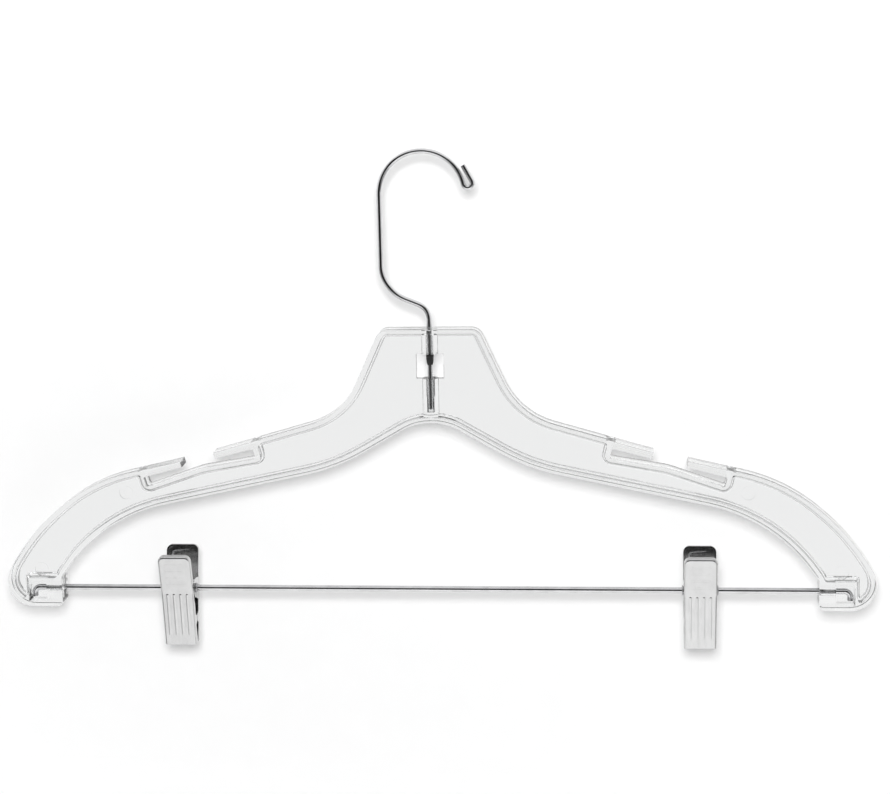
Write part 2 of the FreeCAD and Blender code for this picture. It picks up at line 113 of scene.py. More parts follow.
class HookSizes(bpy.types.PropertyGroup):
    wire: length("Wire", "Thickness of the hook's wire", 2.48)
    neck_top: length("Neck top", "Height of the top of the neck", body_high.z / MM)
    shank_depth: length("Shank depth", "How far the shank goes down into the neck", 39.7)
    rise: length("Rise", "Straight run above the neck before the first bend", 4.4)
    first_bend: length("First bend", "Radius of the bend above the neck", 8.0)
    second_bend: length("Second bend", "Radius of the bend into the upright leg", 18.0)
    bend_angle: degrees("Bend angle", "Turn of the first two bends", 68.0)
    leg_offset: length("Leg offset", "Sideways place of the upright leg", 22.8)
    crown_radius: length("Crown radius", "Radius of the crown that hangs on a rail", 20.6)
    crown_sweep: degrees("Crown sweep", "Turn of the crown", 167.5)
    return_radius: length("Return radius", "Radius of the turned back end", 2.2)
    return_angle: degrees("Return angle", "Turn of the turned back end", 196.0)
    tail: length("Tail", "Straight end after the turn", 8.6)
    barb_radius: length("Barb radius", "Widest radius of the barb on the shank", 1.9)
    barb_height: length("Barb height", "Height of the barb", 5.6)
    barb_drop: length("Barb drop", "Depth of the barb's upper face below the neck", 12.6)
    barb_edge: length("Barb edge", "Width of the barb's bevelled upper edge", 0.25)


class BarSizes(bpy.types.PropertyGroup):
    wire: length("Wire", "Thickness of the bar's wire", BAR_WIRE)
    reach: length("Reach", "Place of the bent tips from the middle", bar_high.x / MM - BAR_WIRE / 2)
    axis_height: length("Axis height", "Height of the bar's axis", bar_high.z / MM - BAR_WIRE / 2)
    tip_foot: length("Tip foot", "Height of the cut ends of the tips", bar_low.z / MM)
    bend: length("Bend", "Radius of the bends at the tips", 3.0)


class ClipSizes(bpy.types.PropertyGroup):
    tilt: degrees("Jaw tilt", "Lean of a closed jaw", 6.8)
    jaw_offset: length("Jaw offset", "Depth of the plate's inner face from the bar's axis", 7.1)
    grip_bend: degrees("Grip bend", "Outward bend of the finger grip", 7.6)
    pad_width: length("Pad width", "Width of a rubber pad", 13.0)
    pad_head: length("Pad head", "Depth of the pad's upper end below the bar", 7.6)
    pad_foot: length("Pad foot", "Depth of the pad's lower end below the bar", 27.6)
    pad_gap: length("Pad gap", "Gap from a pad's ribs to the middle of the clip", 0.15)
    pad_rib: length("Pad rib", "Radius of the ribs across a pad", 0.5)
    pad_rib_pitch: length("Pad rib pitch", "Distance between the ribs of a pad", 1.3)
    pad_rib_proud: share("Pad rib proud", "Share of a rib's radius that stands out of the pad", 0.7)
    pad_rib_inset: length("Pad rib inset", "How much shorter a rib is than the pad is wide", 0.3)
    pad_edge: length("Pad edge", "Width of the rounded edges of a pad", 0.2)
    eyelet_bore: length("Eyelet bore", "Radius of the bore of an eyelet", 1.58)
    eyelet_radius: length("Eyelet radius", "Outer radius of an eyelet", 2.0)
    eyelet_head: length("Eyelet head", "Radius of the rolled heads", 2.5)
    eyelet_roll: length("Eyelet roll", "Thickness of the rolled heads", 0.6)
    eyelet_half: length("Eyelet half", "Half the length of an eyelet", 8.9)
    spring_wire: length("Spring wire", "Thickness of the spring's wire", 1.1)
    spring_radius: length("Spring radius", "Radius of the coil at the middle of the wire", 3.2)
    spring_pitch: length("Spring pitch", "Distance between turns of the coil", 1.75)
    spring_turns: bpy.props.IntProperty(name="Spring turns", default=4,
                                        description="Whole turns of the coil before the legs")
    spring_leg: length("Spring leg", "Straight leg of the spring", 17.3)
    spring_foot: length("Spring foot", "Bent foot at the end of a leg", 7.0)
    spring_foot_bend: length("Spring foot bend", "Radius of the bend to the foot", 1.6)
    spring_leg_gap: length("Spring leg gap", "Gap that sets the lean of the legs", 0.65)
    spring_blend: share("Spring blend", "Share of the coil's radius over which it follows both jaws", 0.85)


class FinishColours(bpy.types.PropertyGroup):
    clear_tint: colour("Clear tint", "Tint of the clear plastic", (0.885, 0.89, 0.89))
    hook_steel: colour("Hook steel", "Colour of the plated hook", (0.66, 0.66, 0.67))
    # Painted shade: the steel barb sits in shadow inside the window, so its colour is set near-black instead
    # of its own steel tone
    barb_painted_shade: colour("Barb painted shade", "Colour of the swaged barb", (0.012, 0.012, 0.012))
    bar_steel: colour("Bar steel", "Colour of the plated bar", (0.66, 0.66, 0.67))
    jaw_steel: colour("Jaw steel", "Colour of the pressed jaws", (0.60, 0.60, 0.60))
    eyelet_steel: colour("Eyelet steel", "Colour of the eyelets", (0.5, 0.5, 0.51))
    spring_steel: colour("Spring steel", "Colour of the springs", (0.6, 0.6, 0.61))
    rubber: colour("Rubber", "Colour of the pads", (0.016, 0.016, 0.017))


class StageLooks(bpy.types.PropertyGroup):
    key_level: share("Key level", "Light from the soft lamp", 0.9)
    fill_level: share("Fill level", "Light from all round", 0.35)
    backdrop_tone: share("Backdrop tone", "Paleness of the backdrop and floor", 0.7)
    backdrop_glow: share("Backdrop glow", "White that the backdrop adds where it is seen", 0.19)
    outer_glow: share("Outer glow", "White that the backdrop adds far from the hanger", 0.54)
    dark_level: share("Dark level", "How dark the room beyond the white is", 0.02)
    wall_depth: length("Wall depth", "Depth of the backdrop behind the hanger", 31.0)
    floor_height: length("Floor height", "Height of the floor", -600.0)
    floor_reach: length("Floor reach", "How far the floor runs to the front", 1250.0)
    cove_radius: length("Cove radius", "Radius where the backdrop runs into the floor", 280.0)
    half_width: length("Half width", "Half the width of the backdrop and the floor", 3000.0)
    wall_top: length("Wall top", "Height of the top of the backdrop", 1600.0)
    card_left: length("Card left", "Left edge of the dark card", -13.0)
    card_right: length("Card right", "Right edge of the dark card", 18.0)
    card_depth: length("Card depth", "Depth of the dark card behind the hanger", 20.0)
    card_low: length("Card low", "Height of the dark card's lower edge", -122.0)
    card_high: length("Card high", "Height of the dark card's upper edge", -106.0)
    lamp_size: length("Lamp size", "Diameter of the soft lamp", 212.0)
    lamp_lift: length("Lamp lift", "Height of the soft lamp above the camera", 101.0)
    lamp_shift: length("Lamp shift", "Place of the soft lamp to the right of the camera", -16.0)
    camera_across: length("Camera across", "Place of the camera to the right", 100.37)
    camera_away: length("Camera away", "Distance of the camera to the front", 981.79)
    camera_height: length("Camera height", "Height of the camera", 81.4)
    camera_yaw: degrees("Camera yaw", "Turn of the camera to the left", 5.435)
    camera_pitch: degrees("Camera pitch", "Tilt of the camera down", 11.4591559)
    camera_roll: degrees("Camera roll", "Lean of the camera", 1.253)
    camera_lens: bpy.props.FloatProperty(name="Camera lens", description="Focal length of the camera",
                                         default=83.355, unit="CAMERA")
    camera_film: bpy.props.FloatProperty(name="Camera film", description="Width of the camera's film",
                                         default=36.0, unit="CAMERA")


# Node helpers

def add_node(tree, kind, **values):
    """Node of a tree: names of its inputs set those, names of its settings set these."""
    made = tree.nodes.new(kind)
    for name, value in values.items():
        plain = name.replace("_", " ").title()
        if hasattr(made, name):
            setattr(made, name, value)
        elif plain in made.inputs:
            made.inputs[plain].default_value = value
        else:
            raise KeyError("%s has no %s" % (kind, name))
    return made


def join_nodes(tree, *links):
    """Links given as (node, output, node, input)."""
    for giver, output, taker, socket in links:
        tree.links.new(giver.outputs[output], taker.inputs[socket])


def blank_material(name):
    """Material without nodes, and its tree."""
    material = bpy.data.materials.new(name)
    material.use_nodes = True
    material.node_tree.nodes.clear()
    return material, material.node_tree


def spread(tree, source, output, low, high, start=0.0, end=1.0):
    """Map a pattern's values from one range to another."""
    made = add_node(tree, "ShaderNodeMapRange")
    for socket, value in zip(("From Min", "From Max", "To Min", "To Max"), (start, end, low, high)):
        made.inputs[socket].default_value = value
    tree.links.new(source.outputs[output], made.inputs["Value"])
    return made


def calc(tree, operation, *values):
    """Output of a Math node whose inputs are numbers or other outputs."""
    made = add_node(tree, "ShaderNodeMath", operation=operation)
    for socket, value in zip(made.inputs, values):
        if isinstance(value, (int, float)):
            socket.default_value = value
        else:
            tree.links.new(value, socket)
    return made.outputs[0]


def ramp(tree, value, start, end, low=0.0, high=1.0):
    """Output that runs smoothly from low to high while a value runs from start to end."""
    made = add_node(tree, "ShaderNodeMapRange", interpolation_type="SMOOTHSTEP")
    for socket, number in zip(("From Min", "From Max", "To Min", "To Max"), (start, end, low, high)):
        made.inputs[socket].default_value = number
    tree.links.new(value, made.inputs["Value"])
    return made.outputs["Result"]


def seen_light(tree, rays):
    """Output that is 1 for light seen straight, in a reflection or through the plastic."""
    seen = calc(tree, "MAXIMUM", rays.outputs["Is Camera Ray"], rays.outputs["Is Glossy Ray"])
    return calc(tree, "MAXIMUM", seen, rays.outputs["Is Transmission Ray"])


def turned_light(tree, rays, pass_depth, times):
    """Output that is 1 for light turned back inside the plastic at least a number of times."""
    enough = calc(tree, "GREATER_THAN", rays.outputs["Ray Depth"], pass_depth + times - 0.5)
    return calc(tree, "MULTIPLY", rays.outputs["Is Transmission Ray"], enough)


def mixed_tones(tree, low, dark, high, pale):
    """Colour ramp from a dark tone at one place to a pale tone at another."""
    toned = add_node(tree, "ShaderNodeValToRGB")
    for stop, spot, tone in zip(toned.color_ramp.elements, (low, high), (dark, pale)):
        stop.position = spot
        stop.color = (*tone, 1)
    return toned


# Finishes

def clear_plastic(tint):
    """Clear moulded plastic with the faint waves of its flow; its rims cast more shadow than its web."""
    material, tree = blank_material("clear_moulded_plastic")
    place = add_node(tree, "ShaderNodeTexCoord")
    flow = add_node(tree, "ShaderNodeTexNoise", scale=70.0, detail=1.0)
    haze = add_node(tree, "ShaderNodeTexNoise", scale=420.0, detail=3.0)
    rough = spread(tree, haze, "Fac", 0.0, 0.03, 0.4, 0.7)
    waves = add_node(tree, "ShaderNodeBump", strength=0.1, distance=0.0003)
    shader = add_node(tree, "ShaderNodeBsdfPrincipled", transmission_weight=1.0)
    shader.inputs["Base Color"].default_value = (*tint, 1)
    shader.inputs["IOR"].default_value = 1.57
    split = add_node(tree, "ShaderNodeSeparateXYZ")
    depth = add_node(tree, "ShaderNodeMath", operation="ABSOLUTE")
    thick = spread(tree, depth, 0, low=0.95, high=0.35, start=1.0 * MM, end=1.8 * MM)
    shade = add_node(tree, "ShaderNodeBsdfTransparent")
    rays = add_node(tree, "ShaderNodeLightPath")
    choice = add_node(tree, "ShaderNodeMixShader")
    result = add_node(tree, "ShaderNodeOutputMaterial")
    join_nodes(
        tree,
        (place, "Object", flow, "Vector"), (place, "Object", haze, "Vector"),
        (place, "Object", split, "Vector"),
        (flow, "Fac", waves, "Height"), (waves, "Normal", shader, "Normal"),
        (rough, "Result", shader, "Roughness"),
        (split, "Y", depth, 0), (thick, "Result", shade, "Color"),
        (rays, "Is Shadow Ray", choice, 0), (shader, 0, choice, 1), (shade, 0, choice, 2),
        (choice, 0, result, "Surface"),
    )
    return material


def drawn_metal(name, tone, grain, rough, wear, metallic=1.0):
    """Plated or plain steel: grain, its scale along X, Y and Z, streaks the gloss; stains cloud the tone."""
    material, tree = blank_material(name)
    place = add_node(tree, "ShaderNodeTexCoord")
    stretch = add_node(tree, "ShaderNodeMapping", scale=grain)
    streaks = add_node(tree, "ShaderNodeTexNoise", scale=1.0, detail=4.0)
    stains = add_node(tree, "ShaderNodeTexNoise", scale=160.0, detail=5.0)
    low, high = rough
    gloss = spread(tree, streaks, "Fac", low, high, 0.3, 0.7)
    toned = mixed_tones(tree, 0.35, [part * (1 - wear) for part in tone], 0.6, tone)
    lines = add_node(tree, "ShaderNodeBump", strength=0.12, distance=0.00005)
    shader = add_node(tree, "ShaderNodeBsdfPrincipled", metallic=metallic)
    result = add_node(tree, "ShaderNodeOutputMaterial")
    join_nodes(
        tree,
        (place, "Object", stretch, "Vector"), (stretch, "Vector", streaks, "Vector"),
        (place, "Object", stains, "Vector"),
        (stains, "Fac", toned, "Fac"), (toned, "Color", shader, "Base Color"),
        (gloss, "Result", shader, "Roughness"),
        (streaks, "Fac", lines, "Height"), (lines, "Normal", shader, "Normal"),
        (shader, 0, result, "Surface"),
    )
    return material


def pad_rubber(tone):
    """Black moulded rubber with a fine matt grain and a little bloom."""
    material, tree = blank_material("black_pad_rubber")
    place = add_node(tree, "ShaderNodeTexCoord")
    grain = add_node(tree, "ShaderNodeTexNoise", scale=4000.0, detail=3.0)
    bloom = add_node(tree, "ShaderNodeTexNoise", scale=350.0, detail=4.0)
    rough = spread(tree, bloom, "Fac", 0.45, 0.68, 0.3, 0.7)
    toned = mixed_tones(tree, 0.3, tone, 0.8, [part * 2.2 for part in tone])
    skin = add_node(tree, "ShaderNodeBump", strength=0.3, distance=0.00004)
    shader = add_node(tree, "ShaderNodeBsdfPrincipled")
    result = add_node(tree, "ShaderNodeOutputMaterial")
    join_nodes(
        tree,
        (place, "Object", grain, "Vector"), (place, "Object", bloom, "Vector"),
        (bloom, "Fac", toned, "Fac"), (toned, "Color", shader, "Base Color"),
        (rough, "Result", shader, "Roughness"),
        (grain, "Fac", skin, "Height"), (skin, "Normal", shader, "Normal"),
        (shader, 0, result, "Surface"),
    )
    return material


# Mesh helpers

def new_piece(name, mesh):
    """Object of the scene that shows some data."""
    piece = bpy.data.objects.new(name, mesh)
    bpy.context.scene.collection.objects.link(piece)
    return piece


def dress(node, material):
    """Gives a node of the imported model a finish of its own."""
    mesh_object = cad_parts[node]
    for spot in mesh_object.material_slots:
        spot.material = material


def path_mesh(name, points):
    """Mesh of edges through the points of a wire's middle line."""
    mesh = bpy.data.meshes.new(name)
    mesh.from_pydata([tuple(point) for point in points], [(i, i + 1) for i in range(len(points) - 1)], [])
    return mesh


def spun_mesh(profile, axis, steps=40):
    """Mesh turned round an axis through the origin from a closed profile of (along, radius)."""
    form = bmesh.new()
    side = Vector((0, 1, 0))
    ring = [form.verts.new(axis * along + side * radius) for along, radius in profile]
    edges = [form.edges.new((ring[i - 1], ring[i])) for i in range(len(ring))]
    bmesh.ops.spin(form, geom=ring + edges, cent=(0, 0, 0), axis=axis, angle=2 * math.pi, steps=steps)
    bmesh.ops.remove_doubles(form, verts=form.verts, dist=1e-7)
    bmesh.ops.recalc_face_normals(form, faces=form.faces)
    mesh = bpy.data.meshes.new("turned")
    form.to_mesh(mesh)
    form.free()
    return mesh


def shade(mesh, angle):
    """Smooth shading, with edges sharper than an angle left crisp."""
    for face in mesh.polygons:
        face.use_smooth = True
    mesh.set_sharp_from_angle(angle=math.radians(angle))


def turned_path(start, heading, steps):
    """Points of a middle line in the front plane; each step is a run and then a turn of some radius."""
    points = [start]
    for run, radius, turn in steps:
        ahead = Vector((math.cos(heading), 0, math.sin(heading)))
        if run > 0:
            points.append(points[-1] + ahead * run)
        if turn:
            side = math.copysign(1, turn)
            centre = points[-1] + Vector((-math.sin(heading), 0, math.cos(heading))) * radius * side
            count = max(6, int(abs(turn) / math.radians(3)))
            for index in range(1, count + 1):
                angle = heading + turn * index / count
                points.append(centre - Vector((-math.sin(angle), 0, math.cos(angle))) * radius * side)
            heading += turn
    return points


# Geometry Nodes

def node_tree(name, inputs):
    """Geometry tree with named inputs and its two end nodes."""
    tree = bpy.data.node_groups.new(name, "GeometryNodeTree")
    tree.interface.new_socket("Geometry", in_out="INPUT", socket_type="NodeSocketGeometry")
    for label, kind in inputs:
        tree.interface.new_socket(label, in_out="INPUT", socket_type=kind)
    tree.interface.new_socket("Geometry", in_out="OUTPUT", socket_type="NodeSocketGeometry")
    return tree, add_node(tree, "NodeGroupInput"), add_node(tree, "NodeGroupOutput")


def round_wire_tree():
    """Round wire swept along a line of edges, which keeps the distance along it as an attribute."""
    tree, given, result = node_tree("Round Wire", [
        ("Wire Radius", "NodeSocketFloat"), ("Sides", "NodeSocketInt"), ("Finish", "NodeSocketMaterial")])
    line = add_node(tree, "GeometryNodeMeshToCurve")
    spot = add_node(tree, "GeometryNodeSplineParameter")
    keep = add_node(tree, "GeometryNodeStoreNamedAttribute", data_type="FLOAT", domain="POINT")
    keep.inputs["Name"].default_value = "along_wire"
    ring = add_node(tree, "GeometryNodeCurvePrimitiveCircle")
    sweep = add_node(tree, "GeometryNodeCurveToMesh")
    sweep.inputs["Fill Caps"].default_value = True
    real = add_node(tree, "GeometryNodeRealizeInstances")
    finish = add_node(tree, "GeometryNodeSetMaterial")
    join_nodes(
        tree,
        (given, "Geometry", line, "Mesh"), (line, "Curve", keep, "Geometry"), (spot, "Length", keep, "Value"),
        (given, "Sides", ring, "Resolution"), (given, "Wire Radius", ring, "Radius"),
        (keep, "Geometry", sweep, "Curve"), (ring, "Curve", sweep, "Profile Curve"),
        (sweep, "Mesh", real, "Geometry"), (real, "Geometry", finish, "Geometry"),
        (given, "Finish", finish, "Material"), (finish, "Geometry", result, "Geometry"),
    )
    return tree


def rib_row_tree():
    """Row of round ribs laid across a pad, joined to it."""
    tree, given, result = node_tree("Rib Row", [
        ("Rib Radius", "NodeSocketFloat"), ("Rib Length", "NodeSocketFloat"),
        ("Rib Count", "NodeSocketInt"), ("First Rib", "NodeSocketVector"),
        ("Rib Step", "NodeSocketVector"), ("Finish", "NodeSocketMaterial")])
    row = add_node(tree, "GeometryNodeMeshLine", mode="OFFSET")
    bar = add_node(tree, "GeometryNodeMeshCylinder", fill_type="NGON", vertices=14)
    place = add_node(tree, "GeometryNodeInstanceOnPoints")
    place.inputs["Rotation"].default_value = (0, math.pi / 2, 0)
    both = add_node(tree, "GeometryNodeJoinGeometry")
    real = add_node(tree, "GeometryNodeRealizeInstances")
    finish = add_node(tree, "GeometryNodeSetMaterial")
    join_nodes(
        tree,
        (given, "Rib Count", row, "Count"), (given, "First Rib", row, "Start Location"),
        (given, "Rib Step", row, "Offset"), (given, "Rib Radius", bar, "Radius"),
        (given, "Rib Length", bar, "Depth"), (row, "Mesh", place, "Points"), (bar, "Mesh", place, "Instance"),
        (place, "Instances", both, "Geometry"), (given, "Geometry", both, "Geometry"),
        (both, "Geometry", real, "Geometry"), (real, "Geometry", finish, "Geometry"),
        (given, "Finish", finish, "Material"), (finish, "Geometry", result, "Geometry"),
    )
    return tree


def grown_mesh(mesh, tree, values):
    """Plain mesh that a tree makes from a mesh, its inputs set by name."""
    source = new_piece("source", mesh)
    growth = source.modifiers.new("Growth", "NODES")
    growth.node_group = tree
    for item in tree.interface.items_tree:
        if item.in_out == "INPUT" and item.name in values:
            growth[item.identifier] = values[item.name]
    depsgraph = bpy.context.evaluated_depsgraph_get()
    result = bpy.data.meshes.new_from_object(source.evaluated_get(depsgraph), preserve_all_data_layers=True,
                                             depsgraph=depsgraph)
    bpy.data.objects.remove(source)
    if not result.polygons:
        raise RuntimeError("%s made no faces" % tree.name)
    return result


def swept_wire(points, thickness, material, sides=WIRE_SIDES):
    """Smooth mesh of a round wire along the points of its middle line."""
    tree = bpy.data.node_groups.get("Round Wire") or round_wire_tree()
    mesh = grown_mesh(path_mesh("line", points), tree,
                      {"Wire Radius": thickness / 2, "Sides": sides, "Finish": material})
    form = bmesh.new()
    form.from_mesh(mesh)
    bmesh.ops.recalc_face_normals(form, faces=form.faces)
    form.to_mesh(mesh)
    form.free()
    shade(mesh, 50)
    return mesh


# Places on a clip

def clip_middle(side):
    """Point on the bar's axis in the middle of one clip."""
    low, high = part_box(side + "_front_jaw")
    return Vector(((low.x + high.x) / 2, 0, bpy.context.scene.hanger_bar.axis_height))


def jaw_matrix(side, jaw):
    """Takes an upright front piece of a clip to its place on one jaw."""
    clip = bpy.context.scene.hanger_clips
    turn = Matrix.Rotation(math.pi, 4, "Z") if jaw == "rear" else Matrix()
    return Matrix.Translation(clip_middle(side)) @ turn @ Matrix.Rotation(clip.tilt, 4, "X")


# Operators

class HANGER_OT_shoulders(bpy.types.Operator):
    """Finish the clear shoulder body"""
    bl_idname = "hanger.shoulders"
    bl_label = "Clear Shoulders"

    def execute(self, context):
        dress("shoulder_body", clear_plastic(context.scene.hanger_colours.clear_tint))
        return {"FINISHED"}


class HANGER_OT_hook(bpy.types.Operator):
    """Bend the swivel hook from round wire and set the barb on its shank"""
    bl_idname = "hanger.hook"
    bl_label = "Swivel Hook"

    def execute(self, context):
        sizes = context.scene.hanger_hook
        finish = drawn_metal("plated_hook_wire", context.scene.hanger_colours.hook_steel,
                             grain=(300, 300, 40), rough=(0.10, 0.2), wear=0.12)
        bends = sizes.first_bend + sizes.second_bend
        bend = sizes.bend_angle
        slant = (sizes.leg_offset - bends * (1 - math.cos(bend))) / math.sin(bend)
        inside = sizes.crown_radius - sizes.wire / 2
        crown_height = -math.sqrt(inside ** 2 - (sizes.crown_radius - sizes.leg_offset) ** 2)
        leg_start = sizes.neck_top + sizes.rise + bends * math.sin(bend) + slant * math.cos(bend)
        points = turned_path(Vector((0, 0, sizes.neck_top - sizes.shank_depth)), math.pi / 2, [
            (sizes.shank_depth + sizes.rise, sizes.first_bend, bend),
            (slant, sizes.second_bend, -bend),
            (crown_height - leg_start, sizes.crown_radius, -sizes.crown_sweep),
            (0, sizes.return_radius, sizes.return_angle),
            (sizes.tail, 0, 0),
        ])
        piece = new_piece("swivel_hook_wire", swept_wire(points, sizes.wire, finish))
        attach(piece, "hook")
        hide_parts("swivel_hook")
        top = sizes.neck_top - sizes.barb_drop
        edge = sizes.barb_edge
        inner = sizes.wire / 2 - edge
        bulge = sizes.barb_radius - inner
        profile = [(top, inner), (top, sizes.barb_radius - edge)]
        for index in range(ARC_STEPS + 1):
            angle = math.pi / 2 * index / ARC_STEPS
            profile.append((top - edge - (sizes.barb_height - edge) * math.sin(angle),
                            inner + bulge * math.cos(angle)))
        barb = spun_mesh(profile, UPWARD)
        shade(barb, 40)
        # The barb's finish is painted shade: near-black and not metallic, for a steel barb that sits in
        # shadow inside the window
        barb.materials.append(drawn_metal("barb_painted_shade_steel", context.scene.hanger_colours.barb_painted_shade,
                                          grain=(300, 300, 300), rough=(0.4, 0.55), wear=0.3, metallic=0.0))
        piece = new_piece("swivel_hook_barb", barb)
        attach(piece, "hook")
        return {"FINISHED"}


class HANGER_OT_bar(bpy.types.Operator):
    """Draw the clip bar with its bent tips"""
    bl_idname = "hanger.bar"
    bl_label = "Clip Bar"

    def execute(self, context):
        sizes = context.scene.hanger_bar
        finish = drawn_metal("plated_bar_wire", context.scene.hanger_colours.bar_steel,
                             grain=(25, 700, 700), rough=(0.12, 0.24), wear=0.12)
        quarter = math.pi / 2
        tip = sizes.axis_height - sizes.bend - sizes.tip_foot
        straight = (sizes.reach - sizes.bend) * 2
        points = turned_path(Vector((-sizes.reach, 0, sizes.tip_foot)), quarter, [
            (tip, sizes.bend, -quarter), (straight, sizes.bend, -quarter), (tip, 0, 0)])
        piece = new_piece("clip_bar_wire", swept_wire(points, sizes.wire, finish))
        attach(piece, "hanger")
        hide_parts("clip_bar")
        return {"FINISHED"}


class HANGER_OT_jaws(bpy.types.Operator):
    """Finish the pressed steel jaws of both clips"""
    bl_idname = "hanger.jaws"
    bl_label = "Clip Jaws"

    def execute(self, context):
        finish = drawn_metal("pressed_jaw_steel", context.scene.hanger_colours.jaw_steel,
                             grain=(900, 900, 60), rough=(0.16, 0.26), wear=0.05)
        for side in SIDES:
            for jaw in JAWS:
                dress("%s_%s_jaw" % (side, jaw), finish)
        return {"FINISHED"}


class HANGER_OT_pads(bpy.types.Operator):
    """Mould the ribbed rubber pads of both clips"""
    bl_idname = "hanger.pads"
    bl_label = "Jaw Pads"

    def execute(self, context):
        sizes = context.scene.hanger_clips
        finish = pad_rubber(context.scene.hanger_colours.rubber)
        tree = rib_row_tree()
        slope = math.tan(sizes.tilt)
        skin = sizes.pad_rib * sizes.pad_rib_proud
        half = sizes.pad_width / 2

        def grip(down):
            return -down * slope - sizes.pad_gap

        outline = [
            (-sizes.jaw_offset, -sizes.pad_head), (grip(sizes.pad_head) - skin, -sizes.pad_head),
            (grip(sizes.pad_foot) - skin, -sizes.pad_foot), (-sizes.jaw_offset, -sizes.pad_foot)]
        form = bmesh.new()
        ends = []
        for across in (-half, half):
            ends.append([form.verts.new((across, depth, height)) for depth, height in outline])
        form.faces.new(ends[0])
        form.faces.new(reversed(ends[1]))
        for index in range(len(outline)):
            form.faces.new((ends[0][index - 1], ends[1][index - 1], ends[1][index], ends[0][index]))
        bmesh.ops.recalc_face_normals(form, faces=form.faces)
        bmesh.ops.bevel(form, geom=form.edges, offset=sizes.pad_edge, segments=3, profile=0.5,
                        affect="EDGES")
        wedge = bpy.data.meshes.new("wedge")
        form.to_mesh(wedge)
        form.free()
        run = sizes.pad_foot - sizes.pad_head
        count = int(run / sizes.pad_rib_pitch)
        first = sizes.pad_head + (run - (count - 1) * sizes.pad_rib_pitch) / 2
        step = Vector((0, slope * -sizes.pad_rib_pitch, -sizes.pad_rib_pitch))
        ribbed = grown_mesh(wedge, tree, {
            "Rib Radius": sizes.pad_rib, "Rib Length": sizes.pad_width - sizes.pad_rib_inset,
            "Rib Count": count, "First Rib": (0, grip(first) - sizes.pad_rib, -first), "Rib Step": step,
            "Finish": finish})
        shade(ribbed, 40)
        for side in SIDES:
            for jaw in JAWS:
                name = "%s_%s_pad" % (side, jaw)
                mesh = ribbed.copy()
                mesh.transform(jaw_matrix(side, jaw))
                piece = new_piece(name + "_rubber", mesh)
                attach(piece, "%s_%s" % (side, jaw))
                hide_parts(name)
        return {"FINISHED"}


class HANGER_OT_eyelets(bpy.types.Operator):
    """Roll the pivot eyelets of both clips"""
    bl_idname = "hanger.eyelets"
    bl_label = "Pivot Eyelets"

    def execute(self, context):
        sizes = context.scene.hanger_clips
        finish = drawn_metal("rolled_eyelet_steel", context.scene.hanger_colours.eyelet_steel,
                             grain=(500, 500, 500), rough=(0.22, 0.4), wear=0.2)
        bore, tube, head = sizes.eyelet_bore, sizes.eyelet_radius, sizes.eyelet_head
        end, roll = sizes.eyelet_half, sizes.eyelet_roll
        right = [(end - roll, bore), (end - roll * 0.3, bore + roll * 0.12),
                 (end - roll * 0.08, tube - roll * 0.3)]
        middle = Vector((end - roll / 2, head - roll / 2))
        steps = 8
        for index in range(steps + 1):
            angle = math.pi / 2 - math.pi * index / steps
            right.append((middle.x + math.sin(angle) * roll / 2, middle.y + math.cos(angle) * roll / 2))
        right.append((end - roll, tube))
        profile = right + [(-along, radius) for along, radius in reversed(right)]
        turned = spun_mesh(profile, ALONG_X)
        turned.materials.append(finish)
        shade(turned, 35)
        for side in SIDES:
            mesh = turned.copy()
            mesh.transform(Matrix.Translation(clip_middle(side)))
            piece = new_piece(side + "_rolled_eyelet", mesh)
            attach(piece, side + "_carriage")
            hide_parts(side + "_pivot_eyelet")
        return {"FINISHED"}


class HANGER_OT_springs(bpy.types.Operator):
    """Wind the torsion springs of both clips"""
    bl_idname = "hanger.springs"
    bl_label = "Clip Springs"

    def execute(self, context):
        sizes = context.scene.hanger_clips
        finish = drawn_metal("wound_spring_wire", context.scene.hanger_colours.spring_steel,
                             grain=(500, 500, 500), rough=(0.2, 0.36), wear=0.25)
        reach = sizes.spring_leg + sizes.spring_foot_bend
        plate = sizes.jaw_offset + reach * math.tan(sizes.grip_bend)
        free = plate - sizes.spring_radius - sizes.spring_wire / 2
        lean = sizes.tilt + math.asin((free - sizes.spring_leg_gap) / reach)
        half_sweep = math.pi * (sizes.spring_turns + 0.5) - lean
        rise = sizes.spring_pitch / (2 * math.pi)

        def coil_point(angle):
            phase = -math.pi / 2 - angle
            return Vector((rise * angle, sizes.spring_radius * math.cos(phase),
                           sizes.spring_radius * math.sin(phase)))

        count = 2 * int(half_sweep / math.radians(6))
        coil = [coil_point(half_sweep * index / count) for index in range(count + 1)]
        phase = -math.pi / 2 - half_sweep
        ahead = Vector((rise, sizes.spring_radius * math.sin(phase), -sizes.spring_radius * math.cos(phase)))
        ahead.normalize()
        inward = (ahead * ahead.x - ALONG_X).normalized()
        elbow = coil[-1] + ahead * sizes.spring_leg
        centre = elbow + inward * sizes.spring_foot_bend
        leg = [elbow]
        for index in range(1, ARC_STEPS + 1):
            angle = math.pi / 2 * index / ARC_STEPS
            leg.append(centre + (ahead * math.sin(angle) - inward * math.cos(angle)) * sizes.spring_foot_bend)
        leg.append(leg[-1] + inward * sizes.spring_foot)
        front = coil + leg
        rear = [Vector((-point.x, -point.y, point.z)) for point in reversed(front[1:])]
        wound = swept_wire(rear + front, sizes.spring_wire, finish, SPRING_SIDES)
        for side in SIDES:
            middle = clip_middle(side)
            mesh = wound.copy()
            mesh.transform(Matrix.Translation(middle))
            piece = new_piece(side + "_wound_spring", mesh)
            reach = Vector((0, sizes.spring_radius * sizes.spring_blend, 0))
            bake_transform(piece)
            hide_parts(side + "_clip_spring")
        return {"FINISHED"}


